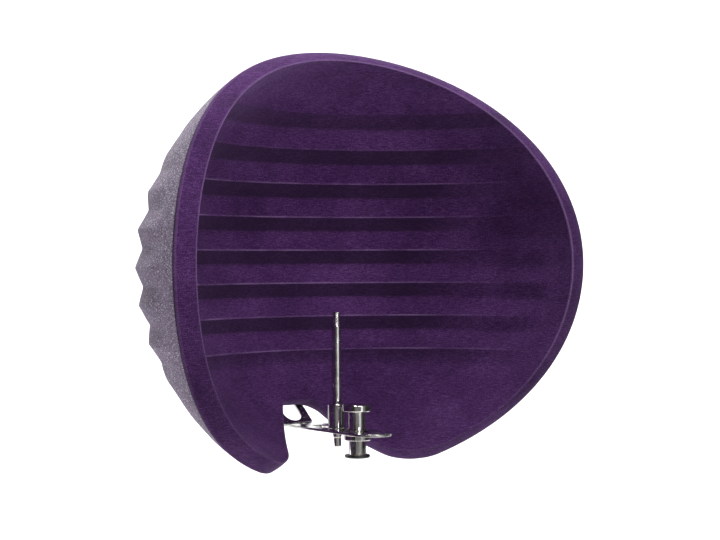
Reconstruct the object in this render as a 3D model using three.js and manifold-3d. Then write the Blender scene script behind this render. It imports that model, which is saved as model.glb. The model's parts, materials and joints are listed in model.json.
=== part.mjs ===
// Microphone isolation shield: a ribbed felt dome on a bent steel bracket, clamped to a stand adaptor,
// with a sliding microphone rod. Millimetres, +Z up, the dome opens towards -Y.
// The origin is the centre of the adaptor's foot, where the part screws down on a microphone stand.
import * as THREE from 'three';
import { mergeVertices } from 'three/addons/utils/BufferGeometryUtils.js';
import Module from 'manifold-3d';

const wasm = await Module();
wasm.setup();
const { Manifold, Mesh: SolidMesh } = wasm;

// ---------- driving dimensions ----------
const GAP = 0.3; // between pieces that touch
const STEEL = 3; // bracket plate thickness

// dome: an ellipsoid about this centre, with different heights above and below it
const DOME = { y: -78.6, z: 221, halfWidth: 285.5, depth: 282.7, rise: 264, drop: 273.6 };
const WALL = { side: 24, top: 15, bottom: 20 }; // wall thickness by direction
const OUTER_FELT = 8.7; // depth of the outer felt's inner face
const CORE_END = 15; // depth of the core's inner face
const RIM = { y: -76, radius: 334.7 }; // the opening follows a cylinder about the X direction
// how far the folded edge stands proud of the rim and notch, and how far it may at most
const EDGE = { corner: 3.5, rimCrease: 9, notchCrease: 15, limit: 30 };
const CUTTER = { front: -400, halfWidth: 320, halfHeight: 290 }; // bodies that trim the dome pass it
const RIB = { height: 4, pitch: 41.06, crest: 218.7 };
// heights between which the ribs grow in from the foot and die out towards the crown
const OUTER_FADE = { low: 75, lowFull: 150, highFull: 262, high: 385 };
const INNER_FADE = { low: 71, lowFull: 126, highFull: 336, high: 436 };

// stand notch in the bottom of the dome, drawn in a plane square to the wall there
const NOTCH = {
  tilt: THREE.MathUtils.degToRad(55), back: -80, corner: 18, halfWidth: 71.5, flare: 0.51,
  front: 55.5, lobe: 22, reach: 150,
};

// stand adaptor and clamp, all on the Z axis
const RING = { r: 14.85, hole: 8.3, top: 3.6 };
const HUB = { r: 10.25, bottom: 3.9, top: 20 };
const FLANGE = { r: 15.85, top: 26.3 };
const INSERT = { r: 7.95, hole: 4.8, bottom: 4.2, top: 14.5 };
const STUD = { r: 4.9, bottom: 16.2, top: 57 };
const BUSH = { r: 15.5, bottom: 26.6, shoulder: 27.4, boss: 6.7, top: 30.5 };
const PLATE_BOTTOM = 27.7;
const PLATE_TOP = PLATE_BOTTOM + STEEL;
const CLAMP_WASHER = { r: 11.5, bottom: PLATE_TOP + GAP, top: PLATE_TOP + GAP + 1 };
const KNOB = { neck: 10.25, r: 16.85, disc: 53, top: 60.8, edge: 0.8 };

// bracket
const TONGUE = { halfWidth: 22.5, tip: -28.5, bend: 120 };
const SLOT = { halfWidth: 7, front: -11, back: 76.5 };
const KEYHOLE = { y: 107, r: 4.8 };
const RAMP = { angle: THREE.MathUtils.degToRad(40.5), length: 40 };
const WINDOW = { halfWidth: 12, start: 4, end: 37 };
const BACK_FLANGE = { angle: THREE.MathUtils.degToRad(58.4), length: 62, halfWidth: 32, corner: 8 };
const BOLT = { x: 21, rows: [19, 49], shank: 2.9, hole: 3.2, length: 19.4, head: 5.25, headHeight: 3 };
const WASHER = { r: 6, height: 1.2 };
const BACKING = { inside: 15.2, thickness: 2, halfWidth: 30, halfLength: 24, corner: 5, middle: 34 };
const NUT = { across: 9.5, height: 3.6 };

// microphone rod and its collar
const ROD_Y = 39.5;
const COLLAR = { r: 10.35, bore: 7.1, bottom: PLATE_TOP + GAP, top: 59, spigot: 6.6, spigotEnd: 25.9 };
const ROD_BUSH = { r: 7.0, bore: 5.6, bottom: 32.6, top: 58.6 };
const CIRCLIP = { hole: 6.9, r: 9.2, bottom: 26.2, top: 27.4 };
const ROD = { r: 5.5, tail: 5, tailTop: 20, bottom: 8.3, top: 150.4, hole: 3.3, holeDepth: 14 };
const SPIGOT = { r: 4.7, pin: 3, top: 165.7, pinLength: 12 };
const GRUB = { r: 2.4, height: 45, length: 4.6, socket: 1.25, socketDepth: 2.2 };

const ROUND = 24; // sides of a turned part
const DOME_SIDES = 26; // facets across the back half of the ribbed dome
const SMOOTH_SIDES = 18; // and of the smooth layers inside the wall

// ---------- materials ----------
const finish = (color, roughness, metalness = 0) => () =>
  new THREE.MeshStandardMaterial({ color, roughness, metalness });
const greyFelt = finish('#77707f', 0.95);
const purpleFelt = finish('#46285c', 0.95);
const coreFelt = finish('#b9b4ad', 1);
const polishedSteel = finish('#c9c8c6', 0.22, 1);
const darkChrome = finish('#3a3a3c', 0.3, 1);
const nylon = finish('#26262a', 0.6);
const brass = finish('#b08d4a', 0.35, 1);

// ---------- solids ----------
const toSolid = (geometry) => {
  const bare = geometry.clone();
  for (const name of Object.keys(bare.attributes)) if (name !== 'position') bare.deleteAttribute(name);
  const merged = mergeVertices(bare, 1e-4);
  return new Manifold(new SolidMesh({
    numProp: 3,
    vertProperties: new Float32Array(merged.attributes.position.array),
    triVerts: new Uint32Array(merged.index.array),
  }));
};

const toGeometry = (solid) => {
  const mesh = solid.getMesh();
  const geometry = new THREE.BufferGeometry();
  geometry.setAttribute('position', new THREE.BufferAttribute(new Float32Array(mesh.vertProperties), 3));
  geometry.setIndex(new THREE.BufferAttribute(new Uint32Array(mesh.triVerts), 1));
  geometry.computeVertexNormals();
  return geometry;
};

const group = new THREE.Group();
const addPiece = (name, shape, material, position = [0, 0, 0]) => {
  const geometry = shape.isBufferGeometry ? shape : toGeometry(shape);
  const mesh = new THREE.Mesh(geometry, material());
  mesh.name = name;
  mesh.position.set(...position);
  group.add(mesh);
  return mesh;
};

// Rings of equal length joined side to side, with flat ends: outline gives the ends' triangulation.
const loft = (rings, outline) => {
  if (THREE.ShapeUtils.isClockWise(outline)) {
    outline = [...outline].reverse();
    rings = rings.map((ring) => [...ring].reverse());
  }
  const n = rings[0].length;
  const index = [];
  for (let r = 0; r + 1 < rings.length; r++) {
    for (let i = 0; i < n; i++) {
      const a = r * n + i, b = r * n + (i + 1) % n;
      index.push(a, b, b + n, a, b + n, a + n);
    }
  }
  const last = (rings.length - 1) * n;
  for (const [a, b, c] of THREE.ShapeUtils.triangulateShape(outline, [])) {
    index.push(c, b, a, last + a, last + b, last + c);
  }
  const points = rings.flat();
  let volume = 0;
  for (let i = 0; i < index.length; i += 3) {
    volume += points[index[i]].dot(points[index[i + 1]].clone().cross(points[index[i + 2]]));
  }
  if (volume < 0) index.reverse();
  const geometry = new THREE.BufferGeometry().setFromPoints(points);
  geometry.setIndex(index);
  return toSolid(geometry);
};

// A turned part: [radius, height] pairs from the axis and back to it, or round a bore.
const turned = (profile, sides = ROUND) => {
  const points = profile.map(([r, z]) => new THREE.Vector2(r, z));
  return new THREE.LatheGeometry(points, sides).rotateX(Math.PI / 2);
};
const tubeProfile = (hole, r, bottom, top) =>
  [[hole, bottom], [r, bottom], [r, top], [hole, top], [hole, bottom]];
const rodProfile = (r, bottom, top) => [[0, bottom], [r, bottom], [r, top], [0, top]];

// ---------- dome ----------
const semiAxes = (depth, above) => {
  const part = depth / WALL.side;
  return {
    x: DOME.halfWidth - depth,
    y: DOME.depth - depth,
    z: above ? DOME.rise - WALL.top * part : DOME.drop - WALL.bottom * part,
  };
};
const rimY = (z) => RIM.y + RIM.radius - Math.sqrt(RIM.radius ** 2 - (z - DOME.z) ** 2);
const ease = (from, to, value) => THREE.MathUtils.smoothstep(value, from, to);

// Zigzag ribs run level round the dome and die out at the rim, the crown and the foot.
const ribHeight = (z, y, fade) => {
  const phase = (z - RIB.crest) / RIB.pitch;
  const zigzag = 4 * Math.abs(phase - Math.floor(phase) - 0.5) - 1;
  const upright = ease(fade.low, fade.lowFull, z) * (1 - ease(fade.highFull, fade.high, z));
  return RIB.height * zigzag * upright * ease(12, 60, y - rimY(z));
};

const ribRows = () => {
  const rows = [];
  for (let k = -8; k <= 10; k++) rows.push(RIB.crest + k * RIB.pitch / 2 - DOME.z);
  return [-262, -250, -237, -222, -205, -186, ...rows, 216, 229, 241, 252];
};
const smoothRows = () => {
  const rows = [];
  for (let degrees = -78; degrees <= 78; degrees += 12) {
    rows.push((degrees < 0 ? DOME.drop : DOME.rise) * Math.sin(THREE.MathUtils.degToRad(degrees)));
  }
  return rows;
};

// The closed body inside the dome's surface at one depth in the wall, ribbed when a fade is given.
const domeBody = (depth, fade) => {
  const sides = fade ? DOME_SIDES : SMOOTH_SIDES;
  const frontSides = 6;
  const turns = [];
  for (let i = 0; i < sides; i++) turns.push(Math.PI * i / sides);
  for (let i = 0; i < frontSides; i++) turns.push(Math.PI * (1 + i / frontSides));
  const points = [];
  for (const row of fade ? ribRows() : smoothRows()) {
    const full = row > 0 ? DOME.rise : DOME.drop;
    const axes = semiAxes(depth, row > 0);
    // ribbed rows keep their own heights; rows near a pole shrink with the layer
    const keep = fade && Math.abs(row) < 210;
    const dz = keep ? row : row * axes.z / full;
    const scale = Math.sqrt(1 - (dz / axes.z) ** 2);
    for (const turn of turns) {
      const c = Math.cos(turn), s = Math.sin(turn);
      const y = DOME.y + axes.y * scale * s;
      const bump = fade && s >= 0 ? ribHeight(DOME.z + dz, y, fade) : 0;
      points.push(new THREE.Vector3((axes.x * scale + bump) * c, y + bump * s, DOME.z + dz));
    }
  }
  const n = turns.length, count = points.length / n;
  points.push(new THREE.Vector3(0, DOME.y, DOME.z - semiAxes(depth, false).z));
  points.push(new THREE.Vector3(0, DOME.y, DOME.z + semiAxes(depth, true).z));
  const index = [];
  for (let i = 0; i < n; i++) {
    const j = (i + 1) % n;
    index.push(points.length - 2, j, i);
    for (let r = 0; r + 1 < count; r++) {
      const a = r * n + i, b = r * n + j;
      index.push(a, b, b + n, a, b + n, a + n);
    }
    index.push(points.length - 1, (count - 1) * n + i, (count - 1) * n + j);
  }
  const geometry = new THREE.BufferGeometry().setFromPoints(points);
  geometry.setIndex(index);
  return toSolid(geometry);
};

// Everything in front of the rim cylinder, moved forward by an amount.
const inFrontOfRim = (forward) => {
  const half = CUTTER.halfHeight, steps = 28;
  const shape = new THREE.Shape();
  shape.moveTo(CUTTER.front, DOME.z - half);
  for (let i = 0; i <= steps; i++) {
    const z = DOME.z - half + 2 * half * i / steps;
    shape.lineTo(rimY(z) - forward, z);
  }
  shape.lineTo(CUTTER.front, DOME.z + half);
  const geometry = new THREE.ExtrudeGeometry(shape, { depth: 2 * CUTTER.halfWidth, bevelEnabled: false });
  geometry.translate(0, 0, -CUTTER.halfWidth);
  const yzx = new THREE.Matrix4().makeBasis(
    new THREE.Vector3(0, 1, 0), new THREE.Vector3(0, 0, 1), new THREE.Vector3(1, 0, 0));
  return toSolid(geometry.applyMatrix4(yzx));
};

// The closed loop where a layer of the wall meets the rim cylinder.
const rimLoop = (depth, forward, count = 56) => {
  const room = (z) => {
    const axes = semiAxes(depth, z > DOME.z);
    return 1 - ((z - DOME.z) / axes.z) ** 2 - ((rimY(z) - forward - DOME.y) / axes.y) ** 2;
  };
  const edge = (inside, outside) => {
    for (let i = 0; i < 40; i++) {
      const middle = (inside + outside) / 2;
      if (room(middle) > 0) inside = middle; else outside = middle;
    }
    return inside;
  };
  const top = edge(DOME.z, DOME.z + DOME.rise), bottom = edge(DOME.z, DOME.z - DOME.drop);
  return Array.from({ length: count }, (_, i) => {
    const turn = 2 * Math.PI * i / count;
    const z = (top + bottom) / 2 + (top - bottom) / 2 * Math.sin(turn);
    const x = semiAxes(depth, z > DOME.z).x * Math.sqrt(Math.max(room(z), 0)) * Math.sign(Math.cos(turn));
    return new THREE.Vector3(Math.abs(Math.cos(turn)) < 1e-6 ? 0 : x, rimY(z) - forward, z);
  });
};

const beyond = (from, through, times) => through.clone().addScaledVector(through.clone().sub(from), times);

// What the slanted face of the folded edge leaves clear, in front of the rim.
const rimBevel = () => {
  const corner = rimLoop(0, EDGE.corner), crease = rimLoop(WALL.side, EDGE.rimCrease);
  const outer = corner.map((p, i) => beyond(crease[i], p, 1));
  const inner = crease.map((p, i) => beyond(corner[i], p, 1.5));
  const front = outer.map((p) => new THREE.Vector3(p.x, CUTTER.front, p.z));
  const outline = outer.map((p) => new THREE.Vector2(p.x, p.z));
  return loft([front, outer, inner], outline);
};

// The notch's outline, offset into the notch by an amount, as points in its own plane.
const notchOutline = (offset) => {
  const slope = Math.atan(NOTCH.flare);
  const halfWidth = NOTCH.halfWidth - offset / Math.cos(slope);
  const back = NOTCH.back + offset;
  const cornerR = NOTCH.corner - offset, lobeR = NOTCH.lobe + offset;
  const front = NOTCH.front + 0.75 * offset;
  const sideX = (e, r) => halfWidth + NOTCH.flare * e + r / Math.cos(slope);
  const right = [];
  const arc = (x, e, r, from, to, steps) => {
    for (let i = 0; i <= steps; i++) {
      const a = from + (to - from) * i / steps;
      right.push(new THREE.Vector2(x + r * Math.cos(a), e + r * Math.sin(a)));
    }
  };
  arc(sideX(back + cornerR, -cornerR), back + cornerR, cornerR, -Math.PI / 2, -slope, 5);
  arc(sideX(front - lobeR, lobeR), front - lobeR, lobeR, Math.PI - slope, Math.PI / 2, 8);
  right.push(new THREE.Vector2(right[right.length - 1].x, NOTCH.reach));
  const left = right.map((p) => new THREE.Vector2(-p.x, p.y)).reverse();
  return [...right, ...left];
};

// From the notch's plane to the dome: along is the way out through the wall.
const notchPoint = (p, along) => new THREE.Vector3(
  p.x,
  DOME.y + 2.6 - p.y * Math.sin(NOTCH.tilt) + along * Math.cos(NOTCH.tilt),
  DOME.z - p.y * Math.cos(NOTCH.tilt) - along * Math.sin(NOTCH.tilt));
const notchWallPoint = (p, depth) => {
  const axes = semiAxes(depth, false);
  let inside = 100, outside = 400;
  for (let i = 0; i < 40; i++) {
    const middle = (inside + outside) / 2;
    const q = notchPoint(p, middle);
    const size = (q.x / axes.x) ** 2 + ((q.y - DOME.y) / axes.y) ** 2 + ((q.z - DOME.z) / axes.z) ** 2;
    if (size < 1) inside = middle; else outside = middle;
  }
  return notchPoint(p, inside);
};

const notchPrism = (offset) => {
  const outline = notchOutline(offset);
  return loft([outline.map((p) => notchPoint(p, 150)), outline.map((p) => notchPoint(p, 340))], outline);
};
const notchBevel = () => {
  const outline = notchOutline(0);
  const corner = outline.map((p) => notchWallPoint(p, 0));
  const crease = notchOutline(EDGE.notchCrease).map((p) => notchWallPoint(p, WALL.side));
  const outer = corner.map((p, i) => beyond(crease[i], p, 1));
  const inner = crease.map((p, i) => beyond(corner[i], p, 1));
  const away = notchPoint(new THREE.Vector2(), 60).sub(notchPoint(new THREE.Vector2(), 0));
  return loft([inner, outer, outer.map((p) => p.clone().add(away))], outline);
};

// ---------- bracket frames ----------
// The ramp starts at the tongue's bend; the back flange starts at the ramp's end. Both are given by
// the plate's upper face: along runs up the plate, out points away from that face.
const inYZ = (y, z) => new THREE.Vector3(0, y, z);
const rampStart = inYZ(TONGUE.bend, PLATE_TOP);
const rampAlong = inYZ(Math.cos(RAMP.angle), Math.sin(RAMP.angle));
const flangeStart = rampStart.clone().addScaledVector(rampAlong, RAMP.length);
const flangeAlong = inYZ(Math.cos(BACK_FLANGE.angle), Math.sin(BACK_FLANGE.angle));
const flangeIn = inYZ(-Math.sin(BACK_FLANGE.angle), Math.cos(BACK_FLANGE.angle)); // into the dome's wall
const flangePlace = (along, inward) => new THREE.Matrix4().makeBasis(
  new THREE.Vector3(1, 0, 0), flangeAlong, flangeIn,
).setPosition(flangeStart.clone().addScaledVector(flangeAlong, along).addScaledVector(flangeIn, inward));

const roundedRectangle = (halfWidth, low, high, r) => {
  const shape = new THREE.Shape();
  shape.absarc(halfWidth - r, low + r, r, -Math.PI / 2, 0);
  shape.absarc(halfWidth - r, high - r, r, 0, Math.PI / 2);
  shape.absarc(-halfWidth + r, high - r, r, Math.PI / 2, Math.PI);
  shape.absarc(-halfWidth + r, low + r, r, Math.PI, 1.5 * Math.PI);
  return shape;
};
const extrude = (shape, from, to, curveSegments = 6) => {
  const options = { depth: to - from, bevelEnabled: false, curveSegments };
  return new THREE.ExtrudeGeometry(shape, options).translate(0, 0, from);
};

// The bent strip itself: the plate's side view with round bends, extruded across its width.
const sideProfile = (halfWidth, startY, endAlong) => {
  const bends = [rampStart, flangeStart];
  const angles = [0, RAMP.angle, BACK_FLANGE.angle];
  const start = inYZ(startY, PLATE_TOP);
  const end = flangeStart.clone().addScaledVector(flangeAlong, endAlong);
  const upper = [start], lower = [];
  const innerR = 4;
  bends.forEach((bend, i) => {
    const trim = innerR * Math.tan((angles[i + 1] - angles[i]) / 2);
    const before = bend.clone().addScaledVector(inYZ(Math.cos(angles[i]), Math.sin(angles[i])), -trim);
    const centre = before.clone().addScaledVector(inYZ(-Math.sin(angles[i]), Math.cos(angles[i])), innerR);
    for (let k = 0; k <= 4; k++) {
      const a = angles[i] + (angles[i + 1] - angles[i]) * k / 4 - Math.PI / 2;
      upper.push(centre.clone().addScaledVector(inYZ(Math.cos(a), Math.sin(a)), innerR));
      lower.push(centre.clone().addScaledVector(inYZ(Math.cos(a), Math.sin(a)), innerR + STEEL));
    }
  });
  upper.push(end);
  lower.unshift(inYZ(startY, PLATE_BOTTOM));
  lower.push(end.clone().addScaledVector(flangeIn, -STEEL));
  const shape = new THREE.Shape([...lower, ...upper.reverse()].map((p) => new THREE.Vector2(p.y, p.z)));
  const geometry = new THREE.ExtrudeGeometry(shape, { depth: 2 * halfWidth, bevelEnabled: false });
  geometry.translate(0, 0, -halfWidth);
  const yzx = new THREE.Matrix4().makeBasis(
    new THREE.Vector3(0, 1, 0), new THREE.Vector3(0, 0, 1), new THREE.Vector3(1, 0, 0));
  return toSolid(geometry.applyMatrix4(yzx));
};

const boltSpots = BOLT.rows.flatMap((along) => [-BOLT.x, BOLT.x].map((x) => ({ x, along })));

const makeBracket = () => {
  // plan outline that the strip is trimmed to: round tip, straight sides, wider back flange
  const tall = 200;
  const plan = new THREE.Shape();
  plan.moveTo(TONGUE.halfWidth, TONGUE.tip);
  plan.lineTo(TONGUE.halfWidth, flangeStart.y + 2);
  plan.lineTo(BACK_FLANGE.halfWidth, flangeStart.y + 8);
  plan.lineTo(BACK_FLANGE.halfWidth, 240);
  plan.lineTo(-BACK_FLANGE.halfWidth, 240);
  plan.lineTo(-BACK_FLANGE.halfWidth, flangeStart.y + 8);
  plan.lineTo(-TONGUE.halfWidth, flangeStart.y + 2);
  plan.lineTo(-TONGUE.halfWidth, TONGUE.tip);
  plan.absarc(0, TONGUE.tip, TONGUE.halfWidth, Math.PI, 2 * Math.PI);
  const strip = sideProfile(BACK_FLANGE.halfWidth + 1, -70, BACK_FLANGE.length)
    .intersect(toSolid(extrude(plan, 0, tall, 10)));

  const slot = new THREE.Shape();
  slot.absarc(0, SLOT.front, SLOT.halfWidth, Math.PI, 2 * Math.PI);
  slot.absarc(0, SLOT.back, SLOT.halfWidth, 0, Math.PI);
  const slotCut = toSolid(extrude(slot, 20, 40, 8));
  const keyhole = toSolid(turned(rodProfile(KEYHOLE.r, 20, 40), 16).translate(0, KEYHOLE.y, 0));

  // window in the ramp: round at its foot, square at its head
  const opening = new THREE.Shape();
  opening.moveTo(WINDOW.halfWidth, WINDOW.end);
  opening.lineTo(-WINDOW.halfWidth, WINDOW.end);
  opening.absarc(0, WINDOW.start + WINDOW.halfWidth, WINDOW.halfWidth, Math.PI, 2 * Math.PI);
  const rampFrame = new THREE.Matrix4().makeBasis(
    new THREE.Vector3(1, 0, 0), rampAlong, inYZ(-Math.sin(RAMP.angle), Math.cos(RAMP.angle)),
  ).setPosition(rampStart);
  const windowCut = toSolid(extrude(opening, -12, 8, 9).applyMatrix4(rampFrame));

  // rounded upper corners of the back flange
  const keepShape = roundedRectangle(BACK_FLANGE.halfWidth, -150, BACK_FLANGE.length, BACK_FLANGE.corner);
  const keep = toSolid(extrude(keepShape, -150, 150).applyMatrix4(flangePlace(0, 0)));
  let bracket = strip.intersect(keep).subtract(slotCut).subtract(keyhole).subtract(windowCut);
  for (const { x, along } of boltSpots) {
    const hole = turned(rodProfile(BOLT.hole, -8, 8), 12).translate(x, 0, 0);
    bracket = bracket.subtract(toSolid(hole.applyMatrix4(flangePlace(along, 0))));
  }
  return bracket;
};

// ---------- bolts through the wall ----------
const hexagon = (across) => {
  const shape = new THREE.Shape();
  for (let i = 0; i < 6; i++) {
    const a = Math.PI * (i / 3 + 1 / 6), r = across / Math.sqrt(3);
    if (i === 0) shape.moveTo(r * Math.cos(a), r * Math.sin(a));
    else shape.lineTo(r * Math.cos(a), r * Math.sin(a));
  }
  return shape;
};
const outward = -STEEL; // inward position of the flange's outer face

const makeBolt = () => {
  const seat = outward - GAP - WASHER.height - GAP; // under the head
  const body = turned([
    [0, seat + BOLT.length], [BOLT.shank, seat + BOLT.length], [BOLT.shank, seat], [BOLT.head, seat],
    [BOLT.head, seat - 0.4 * BOLT.headHeight], [0.7 * BOLT.head, seat - BOLT.headHeight],
    [0, seat - BOLT.headHeight],
  ].reverse(), 16);
  const socket = extrude(hexagon(3), seat - BOLT.headHeight - 1, seat - 0.25 * BOLT.headHeight);
  return toSolid(body).subtract(toSolid(socket));
};
const makeWasher = () =>
  turned(tubeProfile(BOLT.hole, WASHER.r, outward - GAP - WASHER.height, outward - GAP), 16);

const backingShape = (grow) => roundedRectangle(
  BACKING.halfWidth + grow, BACKING.middle - BACKING.halfLength - grow,
  BACKING.middle + BACKING.halfLength + grow, BACKING.corner + grow);
const makeBacking = () => {
  let plate = toSolid(extrude(backingShape(0), BACKING.inside - BACKING.thickness, BACKING.inside, 4));
  for (const { x, along } of boltSpots) {
    plate = plate.subtract(toSolid(turned(rodProfile(BOLT.hole, 5, 20), 12).translate(x, along, 0)));
  }
  return plate;
};
const makeNut = () => {
  const nutTop = BACKING.inside - BACKING.thickness - GAP;
  return toSolid(extrude(hexagon(NUT.across), nutTop - NUT.height, nutTop))
    .subtract(toSolid(turned(rodProfile(BOLT.hole, 0, 20), 12)));
};

// All the room that the flange, bolts, nuts and backing plate take out of the felt.
const boltRoom = () => {
  let room = toSolid(extrude(backingShape(GAP), BACKING.inside - BACKING.thickness - GAP,
    BACKING.inside + GAP, 4).applyMatrix4(flangePlace(0, 0)));
  const nutCorner = NUT.across / Math.sqrt(3) + GAP;
  const nutBottom = BACKING.inside - BACKING.thickness - NUT.height - 1;
  for (const { x, along } of boltSpots) {
    const nut = turned(rodProfile(nutCorner, nutBottom, BACKING.inside), 12);
    const bolt = turned(rodProfile(BOLT.hole, -10, BACKING.inside + 1), 12);
    for (const piece of [nut, bolt]) {
      room = room.add(toSolid(piece.translate(x, 0, 0).applyMatrix4(flangePlace(along, 0))));
    }
  }
  const pressed = roundedRectangle(
    BACK_FLANGE.halfWidth + GAP, -10, BACK_FLANGE.length + GAP, BACK_FLANGE.corner);
  return room.add(toSolid(extrude(pressed, -10, GAP).applyMatrix4(flangePlace(0, 0))));
};

// ---------- build: dome ----------
const wallOuter = domeBody(0, OUTER_FADE);
const wallInner = domeBody(WALL.side, INNER_FADE);
const openingCut = inFrontOfRim(0).add(notchPrism(-EDGE.corner));
const foldRegion = inFrontOfRim(GAP).add(notchPrism(GAP - EDGE.corner));
const room = boltRoom();

addPiece('outer_felt_shell',
  wallOuter.subtract(domeBody(OUTER_FELT)).subtract(openingCut).subtract(room), greyFelt);
addPiece('felt_core',
  domeBody(OUTER_FELT + GAP).subtract(domeBody(CORE_END)).subtract(openingCut).subtract(room),
  coreFelt);
addPiece('inner_felt_liner',
  domeBody(CORE_END + GAP).add(wallOuter.intersect(foldRegion)).subtract(wallInner)
    .subtract(inFrontOfRim(EDGE.limit)).subtract(rimBevel())
    .subtract(notchPrism(EDGE.notchCrease + 1)).subtract(notchBevel()).subtract(room),
  purpleFelt);

// ---------- build: bracket ----------
addPiece('mounting_bracket', makeBracket(), polishedSteel);
addPiece('backing_plate', toGeometry(makeBacking()).applyMatrix4(flangePlace(0, 0)), polishedSteel);
boltSpots.forEach(({ x, along }, i) => {
  const place = (shape) => {
    const geometry = shape.isBufferGeometry ? shape : toGeometry(shape);
    return geometry.translate(x, 0, 0).applyMatrix4(flangePlace(along, 0));
  };
  addPiece(`shell_bolt_${i + 1}`, place(makeBolt()), polishedSteel);
  addPiece(`bolt_washer_${i + 1}`, place(makeWasher()), polishedSteel);
  addPiece(`backing_nut_${i + 1}`, place(makeNut()), polishedSteel);
});

// ---------- build: stand adaptor and clamp ----------
addPiece('foot_ring', turned([
  [RING.hole, 0], [RING.r - 1, 0], [RING.r, 1], [RING.r, RING.top - 1], [RING.r - 1, RING.top],
  [RING.hole, RING.top], [RING.hole, 0],
]), darkChrome);
addPiece('thread_insert', turned(tubeProfile(INSERT.hole, INSERT.r, INSERT.bottom, INSERT.top)), brass);
addPiece('stand_adaptor', turned([
  [INSERT.r + GAP, HUB.bottom], [HUB.r, HUB.bottom], [HUB.r, HUB.top], [FLANGE.r - 0.6, HUB.top],
  [FLANGE.r, HUB.top + 0.6], [FLANGE.r, FLANGE.top - 0.6], [FLANGE.r - 0.6, FLANGE.top],
  [STUD.r + GAP, FLANGE.top], [STUD.r + GAP, INSERT.top + GAP], [INSERT.r + GAP, INSERT.top + GAP],
  [INSERT.r + GAP, HUB.bottom],
]), polishedSteel);
addPiece('clamp_stud', turned([
  [0, STUD.bottom], [STUD.r - 0.8, STUD.bottom], [STUD.r, STUD.bottom + 0.8], [STUD.r, STUD.top - 0.8],
  [STUD.r - 0.8, STUD.top], [0, STUD.top],
]), polishedSteel);
addPiece('slot_bush', turned([
  [STUD.r + GAP, BUSH.bottom], [BUSH.r, BUSH.bottom], [BUSH.r, BUSH.shoulder], [BUSH.boss, BUSH.shoulder],
  [BUSH.boss, BUSH.top], [STUD.r + GAP, BUSH.top], [STUD.r + GAP, BUSH.bottom],
]), nylon);
addPiece('clamp_washer',
  turned(tubeProfile(STUD.r + GAP, CLAMP_WASHER.r, CLAMP_WASHER.bottom, CLAMP_WASHER.top)), polishedSteel);
const neckBottom = CLAMP_WASHER.top + GAP;
addPiece('clamp_knob', turned([
  [STUD.r + GAP, neckBottom], [KNOB.neck, neckBottom], [KNOB.neck, KNOB.disc],
  [KNOB.r - KNOB.edge, KNOB.disc], [KNOB.r, KNOB.disc + KNOB.edge],
  [KNOB.r, KNOB.top - KNOB.edge], [KNOB.r - KNOB.edge, KNOB.top], [0, KNOB.top],
  [0, STUD.top + GAP], [STUD.r + GAP, STUD.top + GAP], [STUD.r + GAP, neckBottom],
]), polishedSteel);

// ---------- build: microphone rod ----------
const atRod = [0, ROD_Y, 0];
const collarBody = toSolid(turned([
  [ROD.r + 0.4, COLLAR.spigotEnd], [COLLAR.spigot, COLLAR.spigotEnd], [COLLAR.spigot, COLLAR.bottom],
  [COLLAR.r, COLLAR.bottom], [COLLAR.r, COLLAR.top - 0.6], [COLLAR.r - 0.6, COLLAR.top],
  [COLLAR.bore, COLLAR.top], [COLLAR.bore, ROD_BUSH.bottom - GAP], [ROD.r + 0.4, ROD_BUSH.bottom - GAP],
  [ROD.r + 0.4, COLLAR.spigotEnd],
]));
const grubPlace = new THREE.Matrix4().makeBasis(
  new THREE.Vector3(1, 0, 0), new THREE.Vector3(0, 0, -1), new THREE.Vector3(0, 1, 0),
).setPosition(0, 0, GRUB.height);
const grubHole = toSolid(turned(rodProfile(GRUB.r + GAP, 0, 20), 14).applyMatrix4(grubPlace));
addPiece('rod_collar', collarBody.subtract(grubHole), polishedSteel, atRod);
addPiece('rod_bush',
  turned(tubeProfile(ROD_BUSH.bore, ROD_BUSH.r, ROD_BUSH.bottom, ROD_BUSH.top)), nylon, atRod);
addPiece('collar_circlip',
  turned(tubeProfile(CIRCLIP.hole, CIRCLIP.r, CIRCLIP.bottom, CIRCLIP.top)), darkChrome, atRod);
const grubStart = COLLAR.bore + GAP;
const grubEnd = grubStart + GRUB.length;
const grubBody = toSolid(turned([
  [0, grubStart], [GRUB.r - 0.8, grubStart], [GRUB.r, grubStart + 0.8], [GRUB.r, grubEnd], [0, grubEnd],
], 14));
const grubSocket = toSolid(extrude(hexagon(2 * GRUB.socket), grubEnd - GRUB.socketDepth, grubEnd + 1));
addPiece('collar_grub_screw',
  toGeometry(grubBody.subtract(grubSocket)).applyMatrix4(grubPlace), darkChrome, atRod);
addPiece('mic_rod', turned([
  [0, ROD.bottom], [ROD.tail - 1.6, ROD.bottom], [ROD.tail - 0.5, ROD.bottom + 0.5],
  [ROD.tail, ROD.bottom + 1.6], [ROD.tail, ROD.tailTop], [ROD.r, ROD.tailTop + 0.5], [ROD.r, ROD.top - 0.6],
  [ROD.r - 0.6, ROD.top], [ROD.hole, ROD.top], [ROD.hole, ROD.top - ROD.holeDepth],
  [0, ROD.top - ROD.holeDepth],
]), polishedSteel, atRod);
addPiece('mic_thread_spigot', turned([
  [0, ROD.top - SPIGOT.pinLength], [SPIGOT.pin, ROD.top - SPIGOT.pinLength], [SPIGOT.pin, ROD.top + GAP],
  [SPIGOT.r, ROD.top + GAP], [SPIGOT.r, SPIGOT.top - 0.8], [SPIGOT.r - 0.8, SPIGOT.top], [0, SPIGOT.top],
]), polishedSteel, atRod);

export default group;
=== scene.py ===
"""Microphone isolation shield: the looks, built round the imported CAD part. Metres, +Z up."""

import json
import math

import bmesh
import bpy
import numpy as np
from mathutils import Matrix, Vector

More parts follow.
